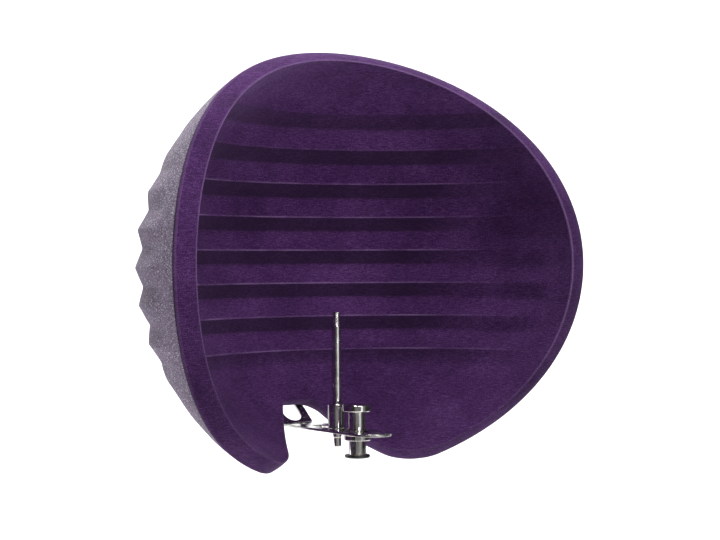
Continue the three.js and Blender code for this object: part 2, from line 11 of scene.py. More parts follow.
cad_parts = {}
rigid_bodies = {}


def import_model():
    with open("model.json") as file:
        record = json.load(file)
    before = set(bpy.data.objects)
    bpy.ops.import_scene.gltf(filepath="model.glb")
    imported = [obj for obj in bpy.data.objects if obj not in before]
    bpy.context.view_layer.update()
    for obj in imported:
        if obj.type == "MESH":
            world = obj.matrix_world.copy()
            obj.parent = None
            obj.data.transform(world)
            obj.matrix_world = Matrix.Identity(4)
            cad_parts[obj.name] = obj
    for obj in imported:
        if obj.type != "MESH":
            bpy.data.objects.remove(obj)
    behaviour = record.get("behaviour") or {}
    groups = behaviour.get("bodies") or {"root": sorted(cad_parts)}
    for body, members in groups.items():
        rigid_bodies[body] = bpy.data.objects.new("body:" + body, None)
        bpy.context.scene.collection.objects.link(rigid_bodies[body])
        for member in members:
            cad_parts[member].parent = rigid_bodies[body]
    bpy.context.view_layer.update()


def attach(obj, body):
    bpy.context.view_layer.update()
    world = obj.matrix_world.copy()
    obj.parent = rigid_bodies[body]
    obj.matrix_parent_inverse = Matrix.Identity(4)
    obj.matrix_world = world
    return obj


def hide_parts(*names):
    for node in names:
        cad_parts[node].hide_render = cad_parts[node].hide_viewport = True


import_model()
MM = 0.001

# ---------- dome dimensions, as in the CAD source (mm) ----------
DOME_Y, DOME_Z = -78.6, 221.0
HALF_WIDTH, DEPTH, RISE, DROP = 285.5, 282.7, 264.0, 273.6
WALL_SIDE, WALL_TOP, WALL_BOTTOM = 24.0, 15.0, 20.0
OUTER_FELT, CORE_START, CORE_END, LINER_BACK = 8.7, 9.0, 15.0, 15.3
RIM_Y, RIM_RADIUS = -76.0, 334.7
EDGE_CORNER, RIM_CREASE, NOTCH_CREASE = 3.5, 9.0, 15.0
RIB_HEIGHT, RIB_PITCH, RIB_CREST = 4.0, 41.06, 218.7
OUTER_FADE = (75.0, 150.0, 262.0, 385.0)  # heights over which the ribs grow in and die out
INNER_FADE = (71.0, 126.0, 336.0, 436.0)
NOTCH_TILT = math.radians(55)
NOTCH_BACK, NOTCH_CORNER, NOTCH_HALF, NOTCH_FLARE = -80.0, 18.0, 68.0, 0.47
LOBE = 31.0
NOTCH_TOP = 150.0  # the notch lies below this height
CREST_REACH = 2.4  # rows of points this close to a crest line are moved on to it
RISE_PER_RADIAN = 230.0  # rough rise for one radian of the polar chart, which sizes the steps of that move

SLOT_OF = {}  # finish of every object made here

GRID = 240  # quads along each side of a felt surface
AROUND = 4 * GRID  # points round its edge


def semi_axes(depth, z):
    """Half axes of the layer at one depth in the wall, at heights z above the dome's centre."""
    part = depth / WALL_SIDE
    high = np.where(z > 0, RISE - WALL_TOP * part, DROP - WALL_BOTTOM * part)
    return HALF_WIDTH - depth, DEPTH - depth, high


def rim_y(z):
    """How far forward the dome's front edge lies at a height."""
    return RIM_Y + RIM_RADIUS - np.sqrt(np.maximum(RIM_RADIUS**2 - (z - DOME_Z) ** 2, 1.0))


def smooth(a, b, x):
    """Smooth step from 0 at a to 1 at b."""
    t = np.clip((x - a) / (b - a), 0, 1)
    return t * t * (3 - 2 * t)


def rib(z, y, fade):
    """Height of the level zigzag ribs, with slightly rounded crests."""
    phase = (z - RIB_CREST) / RIB_PITCH
    tri = np.abs(phase - np.floor(phase) - 0.5)  # 0.5 at an inner crest, 0 at an outer one
    soft = 0.028
    tri = np.sqrt(tri**2 + soft**2) - soft
    tri = 0.5 - (np.sqrt((0.5 - tri) ** 2 + soft**2) - soft)
    zigzag = 4 * tri - 1
    upright = smooth(fade[0], fade[1], z) * (1 - smooth(fade[2], fade[3], z))
    return RIB_HEIGHT * zigzag * upright * smooth(12, 60, y - rim_y(z))


def place(chart, depth, ribbed):
    """Points of a layer, from a polar chart whose length is the angle from the back of the dome."""
    psi = np.hypot(chart[..., 0], chart[..., 1])
    k = np.sinc(psi / np.pi)
    u, w = chart[..., 0] * k, chart[..., 1] * k
    ax, ay, az = semi_axes(depth, w)
    x, y, z = ax * u, DOME_Y + ay * np.cos(psi), DOME_Z + az * w
    if ribbed:
        # ribs push straight out from the dome's upright axis
        rx, ry = u, np.cos(psi)
        n = np.hypot(rx, ry) + 1e-9
        bump = rib(z, y, OUTER_FADE if depth < OUTER_FELT else INNER_FADE) * np.clip(ry * 6 + 1, 0, 1)
        x, y = x + bump * rx / n, y + bump * ry / n
    return np.stack([x, y, z], -1)


def notch_distance(p):
    """Distance outside the notch's outline, in its own tilted plane; negative inside the notch."""
    y, z = p[..., 1] - RIM_Y, p[..., 2] - DOME_Z
    e = -(y * math.sin(NOTCH_TILT) + z * math.cos(NOTCH_TILT))
    x = np.abs(p[..., 0])
    cos_s = 1 / math.hypot(1, NOTCH_FLARE)
    r = NOTCH_CORNER
    side = (x - NOTCH_HALF - NOTCH_FLARE * e) * cos_s + r
    back = (NOTCH_BACK - e) + r
    outside = np.hypot(np.maximum(side, 0), np.maximum(back, 0))
    return outside + np.minimum(np.maximum(side, back), 0) - r


def inside(p, forward, offset, lobe):
    """Positive on the wall: behind the rim and outside the notch, with the lobes rounded off."""
    slope = (p[..., 2] - DOME_Z) / RIM_RADIUS
    a = (p[..., 1] - rim_y(p[..., 2]) + forward) * np.sqrt(np.maximum(1 - slope**2, 0.05))
    b = notch_distance(p) + offset
    ra, rb = np.maximum(lobe - a, 0), np.maximum(lobe - b, 0)
    low = p[..., 2] < NOTCH_TOP
    return np.where(low & (ra > 0) & (rb > 0), lobe - np.hypot(ra, rb), np.minimum(a, np.where(low, b, a)))


def edge_chart(depth, forward, offset, lobe, ribbed, count=6000):
    """The closed line where a layer ends, as chart points in even angle steps round the back."""
    angle = np.linspace(0, 2 * np.pi, count, endpoint=False) - np.pi / 2
    way = np.stack([np.cos(angle), np.sin(angle)], -1)
    steps = np.linspace(0.25, 1.75, 301)
    f = inside(place(way[:, None] * steps[None, :, None], depth, ribbed), forward, offset, lobe)
    out = f < 0
    first = out.argmax(1)
    lo, hi = steps[np.maximum(first - 1, 0)], steps[first]
    for _ in range(40):
        mid = (lo + hi) / 2
        ok = inside(place(way * mid[:, None], depth, ribbed), forward, offset, lobe) > 0
        lo, hi = np.where(ok, mid, lo), np.where(ok, hi, mid)
    return way * lo[:, None]


def even(loop, points, count):
    """A closed loop of chart points resampled to even steps along the given 3-D points."""
    closed = np.vstack([points, points[:1]])
    s = np.concatenate([[0], np.cumsum(np.linalg.norm(np.diff(closed, axis=0), axis=1))])
    t = np.linspace(0, s[-1], count, endpoint=False)
    both = np.vstack([loop, loop[:1]])
    return np.stack([np.interp(t, s, both[:, k]) for k in range(2)], -1)


def follow(loop, points, target):
    """The loop's chart point nearest to each target point, kept in order round the loop."""
    n = len(points)
    found = np.empty(len(target))
    for i in range(0, len(target), 100):
        d = ((target[i : i + 100, None] - points[None]) ** 2).sum(-1)
        found[i : i + 100] = d.argmin(1)
    step = np.diff(np.concatenate([found, found[:1]]))
    step = (step + n / 2) % n - n / 2
    step = np.maximum(step, 0.02)
    step *= n / step.sum()
    for _ in range(12):
        step = (np.roll(step, 1) + 2 * step + np.roll(step, -1)) / 4
    at = found[0] + np.concatenate([[0], np.cumsum(step)[:-1]])
    shift = ((found - at + n / 2) % n - n / 2).mean()
    at = (at + shift) % n
    both = np.vstack([loop, loop[:1]])
    return np.stack([np.interp(at, np.arange(n + 1), both[:, k]) for k in range(2)], -1)


def border_index(n):
    """Grid indices round the border, starting at the middle of the lower side, anticlockwise."""
    ring = [(i, 0) for i in range(n // 2, n)]
    ring += [(n, j) for j in range(n)]
    ring += [(i, n) for i in range(n, 0, -1)]
    ring += [(0, j) for j in range(n, 0, -1)]
    ring += [(i, 0) for i in range(n // 2)]
    return np.array(ring)


def fill_chart(loop, relax=160):
    """Grid of chart points that fills a closed loop of 4*GRID chart points."""
    n = GRID
    ring = border_index(n)
    side = np.linspace(-1, 1, n + 1)
    gx, gy = np.meshgrid(side, side, indexing="ij")
    rho = np.maximum(np.abs(gx), np.abs(gy))
    # position round the border of the ray through each grid point
    bx, by = gx / np.maximum(rho, 1e-9), gy / np.maximum(rho, 1e-9)
    turn = np.zeros_like(rho)
    lower = by <= -1 + 1e-9
    right = (bx >= 1 - 1e-9) & ~lower
    upper = (by >= 1 - 1e-9) & ~lower & ~right
    left = ~(lower | right | upper)
    turn[lower] = bx[lower] / 8
    turn[right] = (1 + (by[right] + 1)) / 8
    turn[upper] = (3 + (1 - bx[upper])) / 8
    turn[left] = (5 + (1 - by[left])) / 8
    turn = (turn % 1) * AROUND
    both = np.vstack([loop, loop[:1]])
    at = np.stack([np.interp(turn, np.arange(AROUND + 1), both[:, k]) for k in range(2)], -1)
    grid = at * rho[..., None]
    grid[ring[:, 0], ring[:, 1]] = loop
    for _ in range(relax):
        mean = (grid[:-2, 1:-1] + grid[2:, 1:-1] + grid[1:-1, :-2] + grid[1:-1, 2:]) / 4
        grid[1:-1, 1:-1] += 0.8 * (mean - grid[1:-1, 1:-1])
    return grid, ring


def snap_to_crests(grid, depth):
    """Slides the nearest row of grid points on to each level crest line, so that the folds are crisp."""
    z = place(grid, depth, False)[..., 2]
    for k in range(-7, 11):
        crest = RIB_CREST + k * RIB_PITCH / 2
        j = np.abs(z - crest).argmin(1)
        for i in range(1, GRID):
            at = j[i]
            if not 0 < at < GRID or abs(z[i, at] - crest) > CREST_REACH:
                continue
            for _ in range(4):
                error = place(grid[i, at], depth, False)[2] - crest
                grid[i, at, 1] -= error / RISE_PER_RADIAN
    return grid


def ripple(points, size, seed):
    """Gentle unevenness of a felt surface, in mm, from a few crossing waves."""
    rng = np.random.default_rng(seed)
    total = np.zeros(points.shape[:-1])
    for _ in range(14):
        way = rng.normal(size=3)
        way /= np.linalg.norm(way)
        length = rng.uniform(18, 90)
        total += np.sin(points @ way * (2 * np.pi / length) + rng.uniform(0, 6.3))
    return total * size / 4


def normals_of(grid_points):
    """Unit normals of a grid of points, pointing away from the dome's middle."""
    a = np.gradient(grid_points, axis=0)
    b = np.gradient(grid_points, axis=1)
    n = np.cross(a, b)
    n /= np.linalg.norm(n, axis=-1, keepdims=True) + 1e-12
    out = grid_points - np.array([0, DOME_Y, DOME_Z])
    return n * np.sign((n * out).sum(-1, keepdims=True))


def uneven(face, size, seed):
    """Gives a grid of points a felt's gentle unevenness, and leaves its border where it is."""
    calm = np.zeros(face.shape[:2])
    calm[1:-1, 1:-1] = 1
    return face + normals_of(face) * (ripple(face, size, seed) * calm)[..., None]


class Skin:
    """Points and faces of one closed felt piece: a front grid, edge rings and a plain hidden back."""

    def __init__(self):
        self.points = []
        self.faces = []
        self.edge = []
        self.count = 0

    def add(self, points, edge=0.0):
        points = np.asarray(points).reshape(-1, 3)
        self.points.append(points)
        self.edge.append(np.broadcast_to(np.asarray(edge, float).ravel(), (len(points),)))
        start = self.count
        self.count += len(points)
        return start

    def grid(self, points, ring, flip, edge=0.0):
        """A full grid. Returns the indices of its border, in order."""
        start = self.add(points, edge)
        n = GRID
        index = start + np.arange((n + 1) ** 2).reshape(n + 1, n + 1)
        quads = np.stack([index[:-1, :-1], index[1:, :-1], index[1:, 1:], index[:-1, 1:]], -1).reshape(-1, 4)
        self.faces += (quads[:, ::-1] if flip else quads).tolist()
        return index[ring[:, 0], ring[:, 1]]

    def coarse(self, points, ring, flip, step=6):
        """The same surface where it is hidden, in large faces that still share every border point."""
        n = GRID
        used = np.zeros((n + 1, n + 1), bool)
        used[::step, ::step] = True
        used[ring[:, 0], ring[:, 1]] = True
        index = np.full((n + 1, n + 1), -1)
        index[used] = self.add(points[used]) + np.arange(used.sum())
        for i in range(0, n, step):
            for j in range(0, n, step):
                cell = [(i + k, j) for k in range(step)]
                cell += [(i + step, j + k) for k in range(step)]
                cell += [(i + step - k, j + step) for k in range(step)]
                cell += [(i, j + step - k) for k in range(step)]
                face = [int(index[a, b]) for a, b in cell if index[a, b] >= 0]
                self.faces.append(face[::-1] if flip else face)
        return index[ring[:, 0], ring[:, 1]]

    def ring(self, points, edge=0.0):
        return self.add(points, edge) + np.arange(len(points))

    def join(self, a, b, flip):
        """Quads between two rings of indices."""
        a, b = np.asarray(a), np.asarray(b)
        quads = np.stack([a, np.roll(a, -1), np.roll(b, -1), b], -1)
        self.faces += (quads[:, ::-1] if flip else quads).tolist()

    def wrap(self, start, rings, end):
        """Joins two borders through rings of points, each with its edge value."""
        for points, edge in rings:
            now = self.ring(points, edge)
            self.join(start, now, True)
            start = now
        self.join(start, end, True)

    def piece(self, name, slot, node):
        """The finished object. It stands for the CAD node and carries the edge value of each point."""
        mesh = bpy.data.meshes.new(name)
        mesh.from_pydata((np.vstack(self.points) * MM).tolist(), [], self.faces)
        attribute = mesh.attributes.new("edge", "FLOAT", "POINT")
        attribute.data.foreach_set("value", np.concatenate(self.edge).astype(np.float32))
        mesh.shade_smooth()
        mesh.validate()
        return add_piece(node, mesh, "shield", slot)


def add_piece(node, mesh, body, slot, at=Matrix()):
    """Puts a mesh in the scene as the piece that stands for a CAD node."""
    obj = bpy.data.objects.new(mesh.name, mesh)
    obj.matrix_world = at
    bpy.context.scene.collection.objects.link(obj)
    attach(obj, body)
    SLOT_OF[obj.name] = slot
    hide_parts(node)
    return obj


def bezier(a, b, c, t):
    """Point of a quadratic curve from a to c, bent towards b."""
    return (1 - t) ** 2 * a + 2 * t * (1 - t) * b + t * t * c


def toward(a, b, distance):
    """The point at a distance from a on the way to b."""
    d = b - a
    return a + d / (np.linalg.norm(d, axis=-1, keepdims=True) + 1e-12) * distance


# ---------- felt layers ----------
corner_chart = edge_chart(0, EDGE_CORNER, 0, LOBE, False)
corner_chart = even(corner_chart, place(corner_chart, 0, False), AROUND)
CORNER = place(corner_chart, 0, False)


def layer_loop(depth, forward, lobe, ribbed=False, offset=None):
    """Chart points where a layer ends, matched one to one with the folded edge's corner.

    forward is how far the layer reaches in front of the rim, and offset how far it reaches into the
    notch. The offset follows from forward unless it is given.
    """
    if offset is None:
        offset = forward - EDGE_CORNER
    loop = edge_chart(depth, forward, offset, lobe, ribbed)
    return follow(loop, place(loop, depth, ribbed), CORNER)


SEAM = 0.3  # gap between the grey felt's end and the purple fold in front of it
TURN = 2.6  # length of the fold's round outer corner
CREASE_OUT, CREASE_IN = 3.2, 3.5  # length of the inner corner's round, on the fold and on the inner face
FOLD_LOBE, SHELL_LOBE = LOBE - 2, LOBE - 3


def make_liner():
    """Purple felt: the ribbed inner face, the folded edge with its rolled corners, and a hidden back."""
    skin = Skin()
    inner = layer_loop(WALL_SIDE, RIM_CREASE - CREASE_IN, LOBE + 8, True, NOTCH_CREASE - CREASE_IN)
    crease = place(layer_loop(WALL_SIDE, RIM_CREASE, LOBE + 10, True, NOTCH_CREASE), WALL_SIDE, True)
    before = place(layer_loop(0, 1.2, FOLD_LOBE), 0, False)
    seam_top = place(layer_loop(0, 0.75, FOLD_LOBE), 0, False)
    seam = place(layer_loop(1.0, SEAM, FOLD_LOBE), 1.0, False)
    back = layer_loop(LINER_BACK, SEAM, FOLD_LOBE)

    grid, ring = fill_chart(inner)
    snap_to_crests(grid, WALL_SIDE)
    front = skin.grid(uneven(place(grid, WALL_SIDE, True), 0.22, 3), ring, True)

    bevel = crease - CORNER
    width = np.linalg.norm(bevel, axis=-1, keepdims=True)
    way = bevel / width
    outward = np.cross(way, np.roll(CORNER, -1, 0) - np.roll(CORNER, 1, 0))
    outward /= np.linalg.norm(outward, axis=-1, keepdims=True)
    if ((CORNER - CORNER.mean(0)) * outward).sum() < 0:
        outward = -outward
    rings = [(seam, -1), (toward(seam, seam_top, 0.5), -1), (seam_top, -1), (before, -0.5)]
    turn_end = CORNER + way * TURN
    for t in (0.2, 0.4, 0.6, 0.8):
        rings.append((bezier(before, CORNER, turn_end, t), 0.35))
    for t in np.linspace(0, 1, 11):
        rise = math.sin(math.pi * t)
        point = turn_end + (width - TURN - CREASE_OUT) * way * t + outward * 0.7 * rise
        rings.append((point + outward * ripple(point, 0.2, 9)[..., None] * rise, 0))
    start = crease - way * CREASE_OUT
    end = place(inner, WALL_SIDE, True)
    for t in (0.17, 0.34, 0.5, 0.66, 0.83):
        rings.append((bezier(start, crease, end, t), 1 - abs(t - 0.5) * 2.2))
    back_grid, _ = fill_chart(back, 60)
    hidden = skin.coarse(place(back_grid, LINER_BACK, False), ring, False)
    skin.wrap(hidden, rings, front)
    skin.piece("liner_felt", "purple_felt", "inner_felt_liner")


def press(face):
    """Pushes the felt in where the bracket's back flange is bolted against it."""
    up = np.array([0, math.cos(FLANGE), math.sin(FLANGE)])
    inn = np.array([0, -math.sin(FLANGE), math.cos(FLANGE)])
    local = face - np.array([0, *FLANGE_START])
    along, inward = local @ up, local @ inn
    beyond = np.hypot(np.maximum(np.abs(face[..., 0]) - FLANGE_HALF, 0),
                      np.maximum(np.maximum(along - FLANGE_LENGTH, -along), 0))
    near = (1 - smooth(1.0, 9.0, beyond)) * (np.abs(inward) < 30)
    return face + (np.maximum(0.4 - inward, 0) * near)[..., None] * inn


def make_shell():
    """Grey heather felt: the ribbed outside of the dome, rounded over where it meets the purple edge."""
    skin = Skin()
    grid, ring = fill_chart(layer_loop(0, -1.6, SHELL_LOBE, True))
    snap_to_crests(grid, 0)
    front = skin.grid(press(uneven(place(grid, 0, True), 0.25, 5)), ring, False)
    lip = place(layer_loop(0.05, -0.5, SHELL_LOBE, True), 0.05, True)
    drop = place(layer_loop(0.9, 0.0, SHELL_LOBE), 0.9, False)
    back_grid, _ = fill_chart(layer_loop(OUTER_FELT, 0.0, SHELL_LOBE), 60)
    hidden = skin.coarse(place(back_grid, OUTER_FELT, False), ring, True)
    skin.wrap(front, [(lip, -0.6), (toward(lip, drop, 0.4), -1), (drop, -1)], hidden)
    skin.piece("shell_felt", "grey_felt", "outer_felt_shell")


def make_core():
    """Pale felt between the two coloured layers, hidden inside the wall."""
    skin = Skin()
    sides = []
    for depth, flip in ((CORE_START, False), (CORE_END, True)):
        grid, ring = fill_chart(layer_loop(depth, 0.0, SHELL_LOBE), 60)
        sides.append(skin.coarse(place(grid, depth, False), ring, flip))
    skin.join(sides[0], sides[1], False)
    skin.piece("core_felt_layer", "core_felt", "felt_core")


# ---------- turned parts ----------
def soften(profile, radius=0.35):
    """Rounds a profile's corners, with a close pair of points where each round meets a flat."""
    closed = profile[0] == profile[-1]
    points = profile[:-1] if closed else profile
    out = []
    for i, point in enumerate(points):
        if len(point) == 3 or (not closed and i in (0, len(points) - 1)):
            out.append(point)
            continue
        here = np.array(point)
        back = np.array(points[i - 1][:2]) - here
        ahead = np.array(points[(i + 1) % len(points)][:2]) - here
        r = min(radius, 0.35 * np.linalg.norm(back), 0.35 * np.linalg.norm(ahead))
        start, end = toward(here, here + back, r), toward(here, here + ahead, r)
        out.append(tuple(toward(here, here + back, 1.25 * r)))
        out += [tuple(bezier(start, here, end, t)) for t in (0, 0.25, 0.5, 0.75, 1)]
        out.append(tuple(toward(here, here + ahead, 1.25 * r)))
    if closed:
        out.append(out[0])
    return out


def thread(r, low, high, pitch):
    """Profile points of a screw thread between two heights."""
    return [(r, z, "thread") for z in np.arange(low, high, pitch / 10)]


def close_mesh(mesh):
    """Turns all faces of a closed mesh outwards."""
    work = bmesh.new()
    work.from_mesh(mesh)
    bmesh.ops.recalc_face_normals(work, faces=work.faces)
    work.to_mesh(mesh)
    work.free()


def lathe(node, profile, body, slot, at=Matrix(), sides=96, pitch=1.5, gap=0.0):
    """A turned part that stands for a CAD node. A profile point is (radius, height) and may add a kind."""
    whole = gap == 0
    angle = np.linspace(gap / 2, 2 * np.pi - gap / 2, sides + (0 if whole else 1), endpoint=not whole)
    closed = profile[0] == profile[-1]
    points, rings = [], []
    for point in profile[:-1] if closed else profile:
        r, z, kind = (*point, None)[:3]
        if r == 0:
            rings.append([len(points)] * len(angle))
            points.append((0, 0, z))
            continue
        radius = np.full(len(angle), r)
        if kind == "hex":
            radius = r / np.cos(angle % (np.pi / 3) - np.pi / 6)
        if kind == "thread":
            radius = r - 0.6 * pitch * (1 - np.abs(2 * ((z / pitch - angle / (2 * np.pi)) % 1) - 1))
        rings.append(list(range(len(points), len(points) + len(angle))))
        points += zip(radius * np.cos(angle), radius * np.sin(angle), np.full(len(angle), z))
    faces = []
    for k in range(len(rings) - (0 if closed else 1)):
        a, b = rings[k], rings[(k + 1) % len(rings)]
        for i in range(len(angle) - (0 if whole else 1)):
            j = (i + 1) % len(angle)
            face = list(dict.fromkeys([a[i], a[j], b[j], b[i]]))
            if len(face) > 2:
                faces.append(face)
    if not whole:
        faces += [[ring[0] for ring in rings], [ring[-1] for ring in rings]]
    mesh = bpy.data.meshes.new(node + "_turned")
    mesh.from_pydata((np.array(points) * MM).tolist(), [], faces)
    close_mesh(mesh)
    mesh.shade_smooth()
    return add_piece(node, mesh, body, slot, at)


def tube(hole, r, bottom, top):
    """Closed profile of a plain tube."""
    return [(hole, bottom), (r, bottom), (r, top), (hole, top), (hole, bottom)]


STEEL, DARK = "polished_steel", "dark_chrome"
GAP = 0.3
ROD_Y = 39.5
AT_ROD = Matrix.Translation((0, ROD_Y * MM, 0))
STUD_BORE, HUB_R = 5.2, 10.25  # shared by the adaptor and the clamp's pieces
KNOB_LOW, KNOB_TOP = 32.3, 60.8
ROD_TOP, ROD_HOLE_LOW = 150.4, 136.4
STUD_PITCH, SPIGOT_PITCH, BOLT_PITCH = 1.5, 1.59, 1.0

lathe("foot_ring", soften([
    (8.3, 0), (13.85, 0), (14.85, 1), (14.85, 2.6), (13.85, 3.6), (8.3, 3.6), (8.3, 0),
]), "stand", DARK)
lathe("thread_insert", soften([
    (4.8, 14.5), (7.95, 14.5), (7.95, 4.2), (4.8, 4.2), (4.8, 14.5),
], 0.5), "stand", "brass")
lathe("stand_adaptor", soften([
    (8.25, 3.9), (HUB_R, 3.9), (HUB_R, 20), (15.25, 20), (15.85, 20.6), (15.85, 25.7), (15.25, 26.3),
    (STUD_BORE, 26.3), (STUD_BORE, 14.8), (8.25, 14.8), (8.25, 3.9),
]), "stand", STEEL, sides=128)
lathe("clamp_stud", [
    (0, 16.2), (4.0, 16.2), *thread(4.9, 16.9, 56.3, STUD_PITCH), (4.0, 57), (0, 57),
], "stand", STEEL, pitch=STUD_PITCH)
lathe("slot_bush", soften([
    (STUD_BORE, 26.6), (15.5, 26.6), (15.5, 27.4), (6.7, 27.4), (6.7, 30.5), (STUD_BORE, 30.5),
    (STUD_BORE, 26.6),
], 0.25), "pan_bush", "nylon")
lathe("clamp_washer", soften(tube(STUD_BORE, 11.5, 31.0, 32.0), 0.2), "clamp_washer", STEEL)
lathe("clamp_knob", soften([
    (STUD_BORE, KNOB_LOW), (HUB_R, KNOB_LOW), (HUB_R, 53), (16.05, 53), (16.85, 53.8), (16.85, 60.0),
    (16.05, KNOB_TOP), (0, KNOB_TOP),
]) + [(0, 57.3), (STUD_BORE, 57.3), (STUD_BORE, KNOB_LOW)], "clamp_knob", STEEL, sides=128)
lathe("rod_bush", soften(tube(5.6, 7.0, 32.6, 58.6), 0.25), "rod_bush", "nylon", AT_ROD)
lathe("collar_circlip", soften(tube(6.9, 9.2, 26.2, 27.4), 0.2), "collar", DARK, AT_ROD, gap=0.6)
lathe("mic_rod", soften([
    (0, 8.3), (3.4, 8.3), (4.5, 8.8), (5, 9.9), (5, 20), (5.5, 20.5), (5.5, ROD_TOP - 0.6), (4.9, ROD_TOP),
    (3.3, ROD_TOP), (3.3, ROD_HOLE_LOW), (0, ROD_HOLE_LOW),
]), "mic_rod", STEEL, AT_ROD)
lathe("mic_thread_spigot", [
    (0, ROD_HOLE_LOW + 2), (3, ROD_HOLE_LOW + 2), (3, 150.7), (3.8, 150.75),
    *thread(4.7, 151.3, 165.0, SPIGOT_PITCH), (3.7, 165.7), (0, 165.7),
], "mic_rod", STEEL, AT_ROD, pitch=SPIGOT_PITCH)

# the grub screw and its hole, pointing to the back of the dome
GRUB_AT = Matrix.Translation((0, ROD_Y * MM, 45 * MM)) @ Matrix.Rotation(-math.pi / 2, 4, "X")
lathe("collar_grub_screw", [
    (0, 7.4), (1.6, 7.4), (2.4, 8.2), (2.4, 11.7), (2.1, 12.0), (1.5, 12.0), (1.25, 11.85, "hex"),
    (1.25, 9.8, "hex"), (0, 9.5),
], "grub_screw", DARK, GRUB_AT, sides=48)
collar = lathe("rod_collar", soften([
    (5.9, 25.9), (6.6, 25.9), (6.6, 31.0), (10.35, 31.0), (10.35, 58.4), (9.75, 59), (7.1, 59), (7.1, 32.3),
    (5.9, 32.3), (5.9, 25.9),
]), "collar", STEEL, AT_ROD, sides=128)


def cut_hole(obj, r, low, high, at):
    """Cuts a round hole along the local Z of a placement."""
    mesh = bpy.data.meshes.new("cutter")
    work = bmesh.new()
    depth = (high - low) * MM
    bmesh.ops.create_cone(work, cap_ends=True, segments=40, radius1=r * MM, radius2=r * MM, depth=depth)
    bmesh.ops.translate(work, verts=work.verts, vec=(0, 0, (low + high) / 2 * MM))
    work.to_mesh(mesh)
    work.free()
    cutter = bpy.data.objects.new("cutter", mesh)
    cutter.matrix_world = at
    bpy.context.scene.collection.objects.link(cutter)
    cut = obj.modifiers.new("hole", "BOOLEAN")
    cut.operation, cut.object, cut.solver = "DIFFERENCE", cutter, "EXACT"
    bpy.context.view_layer.update()
    done = bpy.data.meshes.new_from_object(obj.evaluated_get(bpy.context.evaluated_depsgraph_get()))
    obj.modifiers.clear()
    obj.data = done
    bpy.data.objects.remove(cutter)
    done.set_sharp_from_angle(angle=math.radians(40))


cut_hole(collar, 2.7, 2.0, 20.0, GRUB_AT)

# ---------- bracket ----------
TIP_Y, TONGUE_HALF, BEND_Y, PLATE_TOP, THICK = -28.5, 22.5, 120.0, 30.7, 3.0
RAMP, FLANGE = math.radians(40.5), math.radians(58.4)
RAMP_LENGTH, FLANGE_LENGTH, FLANGE_HALF = 40.0, 62.0, 32.0
BEND_R = 4.0
TRIM = [BEND_R * math.tan(RAMP / 2), BEND_R * math.tan((FLANGE - RAMP) / 2)]
# distances along the plate's upper face: the two bends start and end here
BEND_1 = (BEND_Y - TRIM[0], BEND_Y - TRIM[0] + BEND_R * RAMP)
BEND_2_START = BEND_1[1] + RAMP_LENGTH - TRIM[0] - TRIM[1]
BEND_2 = (BEND_2_START, BEND_2_START + BEND_R * (FLANGE - RAMP))
RAMP_ZERO = BEND_1[1] - TRIM[0]
FLANGE_ZERO = BEND_2[1] - TRIM[1]
RAMP_START = np.array([BEND_Y, PLATE_TOP])
FLANGE_START = RAMP_START + RAMP_LENGTH * np.array([math.cos(RAMP), math.sin(RAMP)])


def flange_at(x, along, inward=0.0):
    """Placement on the back flange, with local Z into the dome's wall."""
    up = Vector((0, math.cos(FLANGE), math.sin(FLANGE)))
    inn = Vector((0, -math.sin(FLANGE), math.cos(FLANGE)))
    spot = Vector((x, *FLANGE_START)) + up * along + inn * inward
    at = Matrix((Vector((1, 0, 0)), up, inn)).transposed().to_4x4()
    at.translation = spot * MM
    return at


def bend_point(x, s, height):
    """A point of the flat plate, carried on to the bent one; height is below the upper face when negative."""
    if s <= BEND_1[0]:
        base, angle = np.array([s, PLATE_TOP]), 0.0
    elif s < BEND_1[1]:
        angle = (s - BEND_1[0]) / BEND_R
        base = np.array([BEND_1[0] + BEND_R * math.sin(angle), PLATE_TOP + BEND_R * (1 - math.cos(angle))])
    elif s <= BEND_2[0]:
        angle = RAMP
        base = RAMP_START + (s - RAMP_ZERO) * np.array([math.cos(RAMP), math.sin(RAMP)])
    elif s < BEND_2[1]:
        angle = RAMP + (s - BEND_2[0]) / BEND_R
        start = RAMP_START + (BEND_2[0] - RAMP_ZERO) * np.array([math.cos(RAMP), math.sin(RAMP)])
        turn = BEND_R * np.array([math.sin(angle) - math.sin(RAMP), math.cos(RAMP) - math.cos(angle)])
        base = start + turn
    else:
        angle = FLANGE
        base = FLANGE_START + (s - FLANGE_ZERO) * np.array([math.cos(FLANGE), math.sin(FLANGE)])
    return x, base[0] - height * math.sin(angle), base[1] + height * math.cos(angle)


def arc(x, y, r, start, end, steps=24):
    """Points along an arc, both ends included."""
    return [(x + r * math.cos(a), y + r * math.sin(a)) for a in np.linspace(start, end, steps + 1)]


def hole(x, y, r, steps=32):
    """Outline of a round hole."""
    return arc(x, y, r, 0, 2 * math.pi, steps)[:-1]


def round_box(half, low, high, r):
    """Outline with round corners, anticlockwise."""
    corners = [(half - r, low + r), (half - r, high - r), (r - half, high - r), (r - half, low + r)]
    outline = []
    for k, (x, y) in enumerate(corners):
        outline += arc(x, y, r, (k - 1) * math.pi / 2, k * math.pi / 2, 8)
    return outline


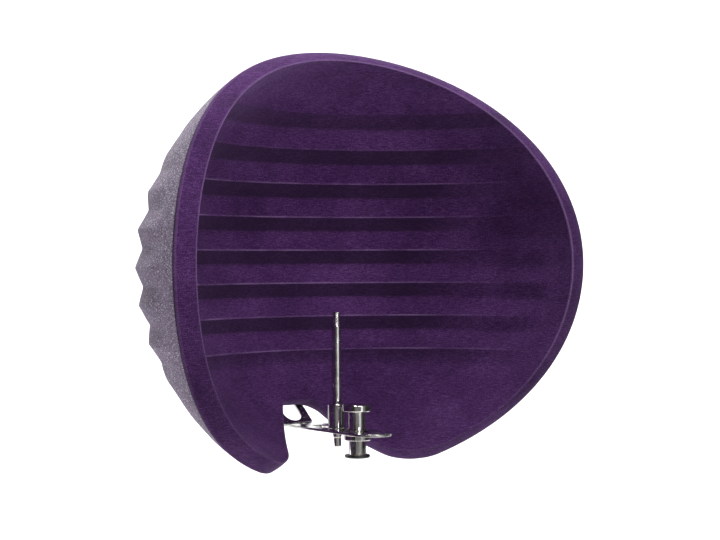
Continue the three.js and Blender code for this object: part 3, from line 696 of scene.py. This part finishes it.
def sheet_mesh(name, outlines, thickness, edge=0.35):
    """A flat plate with holes and rounded edges, as a bmesh in mm; its middle is at height 0."""
    curve = bpy.data.curves.new(name, "CURVE")
    curve.dimensions = "2D"
    curve.fill_mode = "BOTH"
    curve.extrude = thickness / 2 - edge
    curve.bevel_depth, curve.offset, curve.bevel_resolution = edge, -edge, 2
    for outline in outlines:
        spline = curve.splines.new("POLY")
        spline.points.add(len(outline) - 1)
        for point, (x, y) in zip(spline.points, outline):
            point.co = (x, y, 0, 1)
        spline.use_cyclic_u = True
    holder = bpy.data.objects.new(name, curve)
    bpy.context.scene.collection.objects.link(holder)
    bpy.context.view_layer.update()
    mesh = bpy.data.meshes.new_from_object(holder.evaluated_get(bpy.context.evaluated_depsgraph_get()))
    bpy.data.objects.remove(holder)
    work = bmesh.new()
    work.from_mesh(mesh)
    bmesh.ops.remove_doubles(work, verts=work.verts, dist=1e-3)
    return work, mesh


def finish_sheet(work, mesh):
    bmesh.ops.recalc_face_normals(work, faces=work.faces)
    work.to_mesh(mesh)
    work.free()
    mesh.shade_smooth()
    return mesh


def keep_flats(obj):
    """Flat faces keep their own normals, and only the rounded edges shade round."""
    obj.modifiers.new("flats", "WEIGHTED_NORMAL").weight = 100


BOLT_HOLE = 3.2
BOLTS = [(x, y) for y in (19, 49) for x in (-21, 21)]  # on the flange, from its foot


def make_bracket():
    """One bent plate, cut out flat and then bent along its path."""
    half, full = math.pi / 2, math.pi
    outline = arc(0, TIP_Y, TONGUE_HALF, full, 2 * full, 64)
    outline += [(TONGUE_HALF, FLANGE_ZERO + 3.8), (FLANGE_HALF, FLANGE_ZERO + 15.3)]
    corner, top = FLANGE_HALF - 8, FLANGE_ZERO + FLANGE_LENGTH - 8
    outline += arc(corner, top, 8, 0, half, 12) + arc(-corner, top, 8, half, full, 12)
    outline += [(-FLANGE_HALF, FLANGE_ZERO + 15.3), (-TONGUE_HALF, FLANGE_ZERO + 3.8)]
    slot = arc(0, -11, 7, full, 2 * full) + arc(0, 76.5, 7, 0, full)
    keyhole = hole(0, 107, 4.8, 40)
    window = arc(0, RAMP_ZERO + 16, 12, full, 2 * full, 32)
    window += arc(11.2, RAMP_ZERO + 36.2, 0.8, 0, half, 4)
    window += arc(-11.2, RAMP_ZERO + 36.2, 0.8, half, full, 4)
    bolts = [hole(x, FLANGE_ZERO + y, BOLT_HOLE) for x, y in sorted(BOLTS)]
    work, mesh = sheet_mesh("bracket_plate", [outline, slot, keyhole, window] + bolts, THICK)
    cuts = [*np.linspace(*BEND_1, 11), *np.linspace(*BEND_2, 6)]
    for s in cuts:
        geometry = work.verts[:] + work.edges[:] + work.faces[:]
        bmesh.ops.bisect_plane(work, geom=geometry, plane_co=(0, s, 0), plane_no=(0, 1, 0), dist=1e-4)
    for vertex in work.verts:
        x, s, height = vertex.co
        vertex.co = Vector(bend_point(x, s, height - THICK / 2)) * MM
    obj = add_piece("mounting_bracket", finish_sheet(work, mesh), "shield", STEEL)
    keep_flats(obj)


make_bracket()


def flat_piece(node, outlines, low, high, at):
    """A small flat part between two local heights."""
    work, mesh = sheet_mesh(node + "_plate", outlines, high - low, 0.25)
    for vertex in work.verts:
        vertex.co = (vertex.co + Vector((0, 0, (low + high) / 2))) * MM
    obj = add_piece(node, finish_sheet(work, mesh), "shield", STEEL, at)
    keep_flats(obj)


SEAT = -THICK - GAP - 1.2 - GAP  # underside of a bolt's head, from the flange's upper face
HEX_R = 9.5 / math.sqrt(3)
HEXAGON = [(HEX_R * math.cos(a), HEX_R * math.sin(a)) for a in np.pi * (np.arange(6) / 3 + 1 / 6)]
plate_holes = [hole(x, y, BOLT_HOLE) for x, y in BOLTS]
flat_piece("backing_plate", [round_box(30, 10, 58, 5), *plate_holes], 13.2, 15.2, flange_at(0, 0))
for number, (x, y) in enumerate(BOLTS, 1):
    spot = flange_at(x, y)
    head = [(5.25 * math.cos(a), SEAT - 1.2 - 1.8 * math.sin(a)) for a in np.linspace(0, 0.72, 7)]
    lathe(f"shell_bolt_{number}", [
        (0, SEAT + 19.4), (2.4, SEAT + 19.4), *thread(2.9, SEAT + 4, SEAT + 18.9, BOLT_PITCH)[::-1],
        (2.9, SEAT + 3.4), (2.9, SEAT + 0.2), (2.9, SEAT), (4.9, SEAT), (5.2, SEAT - 0.1), (5.25, SEAT - 0.4),
        *head, (3.3, SEAT - 2.9), (1.9, SEAT - 3.0), (1.7, SEAT - 3.0), (1.5, SEAT - 2.8, "hex"),
        (1.5, SEAT - 0.8, "hex"), (0, SEAT - 0.6),
    ], "shield", STEEL, spot, sides=72, pitch=BOLT_PITCH)
    washer = soften(tube(BOLT_HOLE, 6, SEAT + GAP, SEAT + GAP + 1.2), 0.25)
    lathe(f"bolt_washer_{number}", washer, "shield", STEEL, spot, sides=72)
    flat_piece(f"backing_nut_{number}", [HEXAGON, hole(0, 0, BOLT_HOLE)], 9.3, 12.9, spot)

make_liner()
make_shell()
make_core()

# ---------- camera ----------
CAMERA_AT = (-1.07645, -1.44496, 0.22318)
CAMERA_AIM = (-0.0326, -0.0504, 0.2151)
CAMERA_ROLL = math.radians(-0.266)
camera_data = bpy.data.cameras.new("camera")
camera = bpy.data.objects.new("camera", camera_data)
bpy.context.scene.collection.objects.link(camera)
camera_data.lens = 78.67
camera_data.sensor_width = 36
camera.location = CAMERA_AT
aim = Vector(CAMERA_AIM) - camera.location
roll = Matrix.Rotation(CAMERA_ROLL, 3, "Z").to_quaternion()
camera.rotation_mode = "QUATERNION"
camera.rotation_quaternion = aim.to_track_quat("-Z", "Y") @ roll
bpy.context.scene.camera = camera

# ---------- setting ----------
FLOOR_Z, FLOOR_FRONT, CURVE_START, CURVE_R, BACKDROP_TOP, HALF_SPAN = -0.62, -6.0, 3.0, 1.5, 6.0, 8.0
VIEW_AZIMUTH = math.radians(-38)  # the backdrop stands square to the photograph's view
CARD_DISTANCE, CARD_WIDTH, CARD_LOW, CARD_TOP = 3.4, 4.2, -0.6, 1.5


def matte(name, shade, specular):
    """A plain grey material for the setting."""
    material = bpy.data.materials.new(name)
    material.use_nodes = True
    shader = material.node_tree.nodes["Principled BSDF"]
    shader.inputs["Base Color"].default_value = (shade, shade, shade, 1)
    shader.inputs["Roughness"].default_value = 1.0
    shader.inputs["Specular IOR Level"].default_value = specular
    return material


def stage_object(name, points, faces, material):
    """Part of the setting, which doesn't belong to the object."""
    mesh = bpy.data.meshes.new(name)
    mesh.from_pydata([tuple(p) for p in points], [], faces)
    obj = bpy.data.objects.new(name, mesh)
    obj.data.materials.append(material)
    bpy.context.scene.collection.objects.link(obj)
    return obj


def sweep():
    """Pale floor that curves up into a backdrop far behind the object."""
    profile = [(FLOOR_FRONT, FLOOR_Z), (CURVE_START, FLOOR_Z)]
    for a in np.linspace(0.1, math.pi / 2, 15):
        profile.append((CURVE_START + CURVE_R * math.sin(a), FLOOR_Z + CURVE_R * (1 - math.cos(a))))
    profile.append((CURVE_START + CURVE_R, BACKDROP_TOP))
    turn = Matrix.Rotation(VIEW_AZIMUTH, 3, "Z")
    points = [turn @ Vector((x, y, z)) for y, z in profile for x in (-HALF_SPAN, HALF_SPAN)]
    faces = [(2 * i, 2 * i + 1, 2 * i + 3, 2 * i + 2) for i in range(len(profile) - 1)]
    stage_object("floor", points, faces, matte("floor", 0.93, 0.0)).data.shade_smooth()


sweep()


def area_light(name, azimuth, height, distance, size, power, target=(0, 0, 0.22)):
    """A soft panel with its azimuth as for the views, 0 in front of the dome."""
    light = bpy.data.lights.new(name, "AREA")
    light.shape = "RECTANGLE"
    light.size, light.size_y = size
    light.energy = power
    obj = bpy.data.objects.new(name, light)
    a = math.radians(azimuth)
    obj.location = Vector((math.sin(a) * distance, -math.cos(a) * distance, height))
    obj.rotation_mode = "QUATERNION"
    obj.rotation_quaternion = (Vector(target) - obj.location).to_track_quat("-Z", "Y")
    bpy.context.scene.collection.objects.link(obj)
    return light


area_light("key", -2, 1.95, 1.15, (0.9, 0.6), 35)
area_light("top_left", -72, 2.1, 0.5, (0.6, 0.5), 23)
area_light("left", -128, -0.15, 1.9, (0.9, 0.7), 10.5)
area_light("strip", 2, 0.35, 2.1, (0.55, 1.1), 2.6)
area_light("crown", -12, 0.3, 1.3, (0.3, 0.2), 0.6, (0.0, 0.15, 0.39)).spread = math.radians(36)


def card(azimuth, material):
    """A tall dark card beside the set. It darkens the steel's reflections and the sides of the bowl."""
    a = math.radians(azimuth)
    middle = Vector((math.sin(a), -math.cos(a), 0)) * CARD_DISTANCE
    side = Vector((math.cos(a), math.sin(a), 0)) * CARD_WIDTH / 2
    points = [middle - side, middle + side, middle + side, middle - side]
    for point, z in zip(points, (CARD_LOW, CARD_LOW, CARD_TOP, CARD_TOP)):
        point.z = z
    stage_object("card", points, [(0, 1, 2, 3)], material).visible_camera = False


card_material = matte("card", 0.02, 0.5)
card(-85, card_material)
card(62, card_material)
# two panels behind the object light the backdrop only
area_light("backdrop_high", 142, 4.2, 2.2, (5.0, 1.0), 260, (2.6, 3.4, 0.0))
area_light("backdrop_low", 142, -0.5, 1.6, (3.5, 0.4), 60, (2.6, 3.4, 0.5))

world = bpy.data.worlds.new("world")
bpy.context.scene.world = world
world.use_nodes = True
world.node_tree.nodes["Background"].inputs["Color"].default_value = (1, 1, 1, 1)
world.node_tree.nodes["Background"].inputs["Strength"].default_value = 0.17
bpy.context.scene.view_settings.view_transform = "Standard"


# ---------- materials ----------
class Tree:
    """Short hand for a material's node tree."""

    def __init__(self, name, **sockets):
        self.material = bpy.data.materials.new(name)
        self.material.use_nodes = True
        self.tree = self.material.node_tree
        self.shader = self.tree.nodes["Principled BSDF"]
        self.split = None
        for socket, value in sockets.items():
            self.shader.inputs[socket.replace("_", " ")].default_value = value
        self.where = self.put("TexCoord").outputs["Object"]

    def put(self, kind, **settings):
        """Adds a node with some of its settings."""
        node = self.tree.nodes.new("ShaderNode" + kind)
        for key, value in settings.items():
            setattr(node, key, value)
        return node

    def feed(self, socket, value):
        """Links a socket, or sets it where the value is uniform."""
        if isinstance(value, bpy.types.NodeSocket):
            self.tree.links.new(value, socket)
        else:
            socket.default_value = value

    def math(self, operation, a, b=0.0, c=0.0, clamp=False):
        node = self.put("Math", operation=operation, use_clamp=clamp)
        for socket, value in zip(node.inputs, (a, b, c)):
            self.feed(socket, value)
        return node.outputs[0]

    def times(self, *values):
        result = values[0]
        for value in values[1:]:
            result = self.math("MULTIPLY", result, value)
        return result

    def axis(self, name):
        """X, Y or Z of the point."""
        if self.split is None:
            self.split = self.put("SeparateXYZ")
            self.feed(self.split.inputs[0], self.where)
        return self.split.outputs[name]

    def noise(self, scale, stretch=(1, 1, 1), detail=2.0, vector=None, distortion=0.0):
        """Noise with that many cells per metre; stretch scales each axis."""
        mapping = self.put("Mapping")
        self.feed(mapping.inputs["Vector"], vector or self.where)
        mapping.inputs["Scale"].default_value = stretch
        node = self.put("TexNoise")
        self.feed(node.inputs["Vector"], mapping.outputs[0])
        node.inputs["Scale"].default_value = scale
        node.inputs["Detail"].default_value = detail
        node.inputs["Distortion"].default_value = distortion
        return node.outputs["Fac"]

    def span(self, value, low, high, to_low=0.0, to_high=1.0):
        """Smooth step of a value between two limits."""
        node = self.put("MapRange", interpolation_type="SMOOTHSTEP")
        for socket, number in zip(node.inputs, (value, low, high, to_low, to_high)):
            self.feed(socket, number)
        return node.outputs[0]

    def ramp(self, value, *stops):
        node = self.put("ValToRGB")
        self.feed(node.inputs[0], value)
        parts = node.color_ramp.elements
        while len(parts) < len(stops):
            parts.new(0.5)
        for part, (position, color) in zip(parts, stops):
            part.position = position
            part.color = (*color, 1)
        return node.outputs[0]

    def mix(self, factor, a, b, blend="MIX"):
        node = self.put("Mix", data_type="RGBA", blend_type=blend)
        self.feed(node.inputs[0], factor)
        for socket, value in ((node.inputs[6], a), (node.inputs[7], b)):
            self.feed(socket, value if isinstance(value, bpy.types.NodeSocket) else (*value, 1))
        return node.outputs[2]

    def bump(self, height, strength, distance):
        node = self.put("Bump")
        node.inputs["Strength"].default_value = strength
        node.inputs["Distance"].default_value = distance
        self.feed(node.inputs["Height"], height)
        self.feed(self.shader.inputs["Normal"], node.outputs[0])

    def use(self, socket, value):
        self.feed(self.shader.inputs[socket], value)


def felt_layers(t):
    """Grain, level fibres and slow mottling, mixed to one height."""
    grain = t.noise(1300, detail=3)
    fibres = t.noise(1.0, stretch=(150, 150, 1000), detail=3, distortion=0.5)
    mottle = t.noise(16, detail=3)
    both = t.math("ADD", t.times(grain, 0.56), t.times(fibres, 0.28))
    return t.math("ADD", both, t.times(mottle, 0.16)), grain


def edge_value(t):
    """Above 0 on a fold's pale corners, below 0 down in the seam between the two coloured felts."""
    return t.put("Attribute", attribute_name="edge").outputs["Fac"]


def seam_shade(t):
    return t.math("MULTIPLY", edge_value(t), -1.0, clamp=True)


def purple_felt():
    t = Tree("purple_felt", Roughness=0.92, Sheen_Weight=0.12, Sheen_Roughness=0.45,
             Sheen_Tint=(0.72, 0.45, 1.0, 1), Specular_IOR_Level=0.12)
    tone, grain = felt_layers(t)
    color = t.ramp(
        tone, (0.36, (0.009, 0.0022, 0.014)), (0.5, (0.033, 0.0084, 0.054)), (0.64, (0.098, 0.040, 0.138)))
    # painted shade: the colour is darkened on the down-facing facets under the ribs' crests, in the middle of
    # the bowl
    height = t.axis("Z")
    phase = t.math("FRACT", t.math("DIVIDE", t.math("SUBTRACT", height, RIB_CREST * MM), RIB_PITCH * MM))
    bowl = t.span(t.math("ABSOLUTE", t.axis("X")), 0.25, 0.16)
    facet_painted_shade = t.times(t.span(phase, 0.03, 0.12), t.span(phase, 0.49, 0.46))
    ribbed = t.times(t.span(height, 0.08, 0.13), t.span(height, 0.37, 0.44, 1.0, 0.0))
    color = t.mix(t.times(facet_painted_shade, ribbed, bowl, 0.66), color, (0.006, 0.002, 0.009))
    # the crests and the folded corners are paler: partly wear and partly a painted highlight, weaker towards
    # the bottom
    crest = t.span(t.math("ABSOLUTE", t.math("SUBTRACT", phase, 0.5)), 0.030, 0.006)
    crisp = t.times(t.span(height, 0.085, 0.13), t.span(height, 0.29, 0.39, 1.0, 0.0), bowl)
    rubbed_and_highlit = t.times(t.span(t.noise(22, detail=2), 0.35, 0.62, 0.25, 0.8), t.span(grain, 0.3, 0.7, 0.3, 0.9))
    folded = t.times(edge_value(t), t.span(height, 0.02, 0.2, 0.3, 1.0), t.span(grain, 0.3, 0.7, 0.25, 0.75))
    color = t.mix(t.math("MAXIMUM", t.times(crest, crisp, rubbed_and_highlit), folded), color, (0.19, 0.115, 0.24))
    t.use("Base Color", t.mix(seam_shade(t), color, (0.006, 0.004, 0.009)))
    t.bump(tone, 0.5, 0.0012)
    return t.material


def grey_felt():
    t = Tree("grey_felt", Roughness=0.95, Sheen_Weight=0.15, Sheen_Roughness=0.5, Specular_IOR_Level=0.12)
    tone, grain = felt_layers(t)
    color = t.ramp(
        tone, (0.36, (0.050, 0.033, 0.062)), (0.5, (0.124, 0.088, 0.150)), (0.63, (0.26, 0.202, 0.30)))
    flecks = t.noise(480, stretch=(1, 1, 1.7), detail=1, distortion=1.2)
    color = t.mix(t.span(flecks, 0.58, 0.68), color, (0.50, 0.47, 0.54))
    color = t.mix(t.span(flecks, 0.41, 0.32), color, (0.05, 0.035, 0.065))
    t.use("Base Color", t.mix(seam_shade(t), color, (0.012, 0.010, 0.014)))
    t.bump(tone, 0.5, 0.0012)
    return t.material


def core_felt():
    t = Tree("core_felt", Roughness=1.0, Sheen_Weight=0.1)
    tone, _ = felt_layers(t)
    t.use("Base Color", t.ramp(tone, (0.35, (0.33, 0.30, 0.27)), (0.65, (0.62, 0.58, 0.52))))
    t.bump(tone, 0.4, 0.001)
    return t.material


def steel(name, color, rough, lined):
    """Polished metal with fine lines, smudges and hairline scratches. lined gives the lines' stretch."""
    t = Tree(name, Metallic=1.0)
    smudge = t.noise(45, detail=4)
    lines = t.noise(1.0, stretch=lined, detail=2)
    scratch = t.noise(1.0, stretch=(260, 2400, 260), detail=1, distortion=0.6)
    mark = t.span(scratch, 0.70, 0.76)
    low, high = [tuple(c * k for c in color) for k in (0.86, 1.06)]
    t.use("Base Color", t.mix(t.span(smudge, 0.35, 0.65), low, high))
    roughness = t.math("ADD", t.span(smudge, 0.4, 0.7, rough, rough + 0.09), t.times(lines, 0.05))
    t.use("Roughness", t.math("ADD", roughness, t.times(mark, 0.12)))
    t.bump(t.math("SUBTRACT", lines, t.times(mark, 0.5)), 0.025, 0.0001)
    return t.material


def nylon():
    t = Tree("nylon", Roughness=0.5, Specular_IOR_Level=0.45)
    grain = t.noise(2200, detail=2)
    patches = t.span(t.noise(60, detail=4), 0.3, 0.7)
    t.use("Base Color", t.mix(patches, (0.016, 0.016, 0.019), (0.030, 0.030, 0.034)))
    t.use("Roughness", t.span(grain, 0.3, 0.7, 0.42, 0.6))
    t.bump(grain, 0.15, 0.0002)
    return t.material


TURNED_LINES, PLATE_LINES = (60, 60, 2600), (2600, 60, 1200)  # stretch of the fine lines, per metre
MATERIALS = {
    "purple_felt": purple_felt(),
    "grey_felt": grey_felt(),
    "core_felt": core_felt(),
    "polished_steel": steel("polished_steel", (0.72, 0.69, 0.68), 0.08, TURNED_LINES),
    "dark_chrome": steel("dark_chrome", (0.085, 0.082, 0.085), 0.22, TURNED_LINES),
    "brass": steel("brass", (0.78, 0.55, 0.24), 0.24, TURNED_LINES),
    "nylon": nylon(),
}
PLATE_STEEL = steel("brushed_plate", (0.72, 0.70, 0.69), 0.13, PLATE_LINES)
for obj in list(bpy.context.scene.objects):
    finish = SLOT_OF.get(obj.name)
    if finish:
        obj.data.materials.clear()
        obj.data.materials.append(PLATE_STEEL if obj.name == "bracket_plate" else MATERIALS[finish])
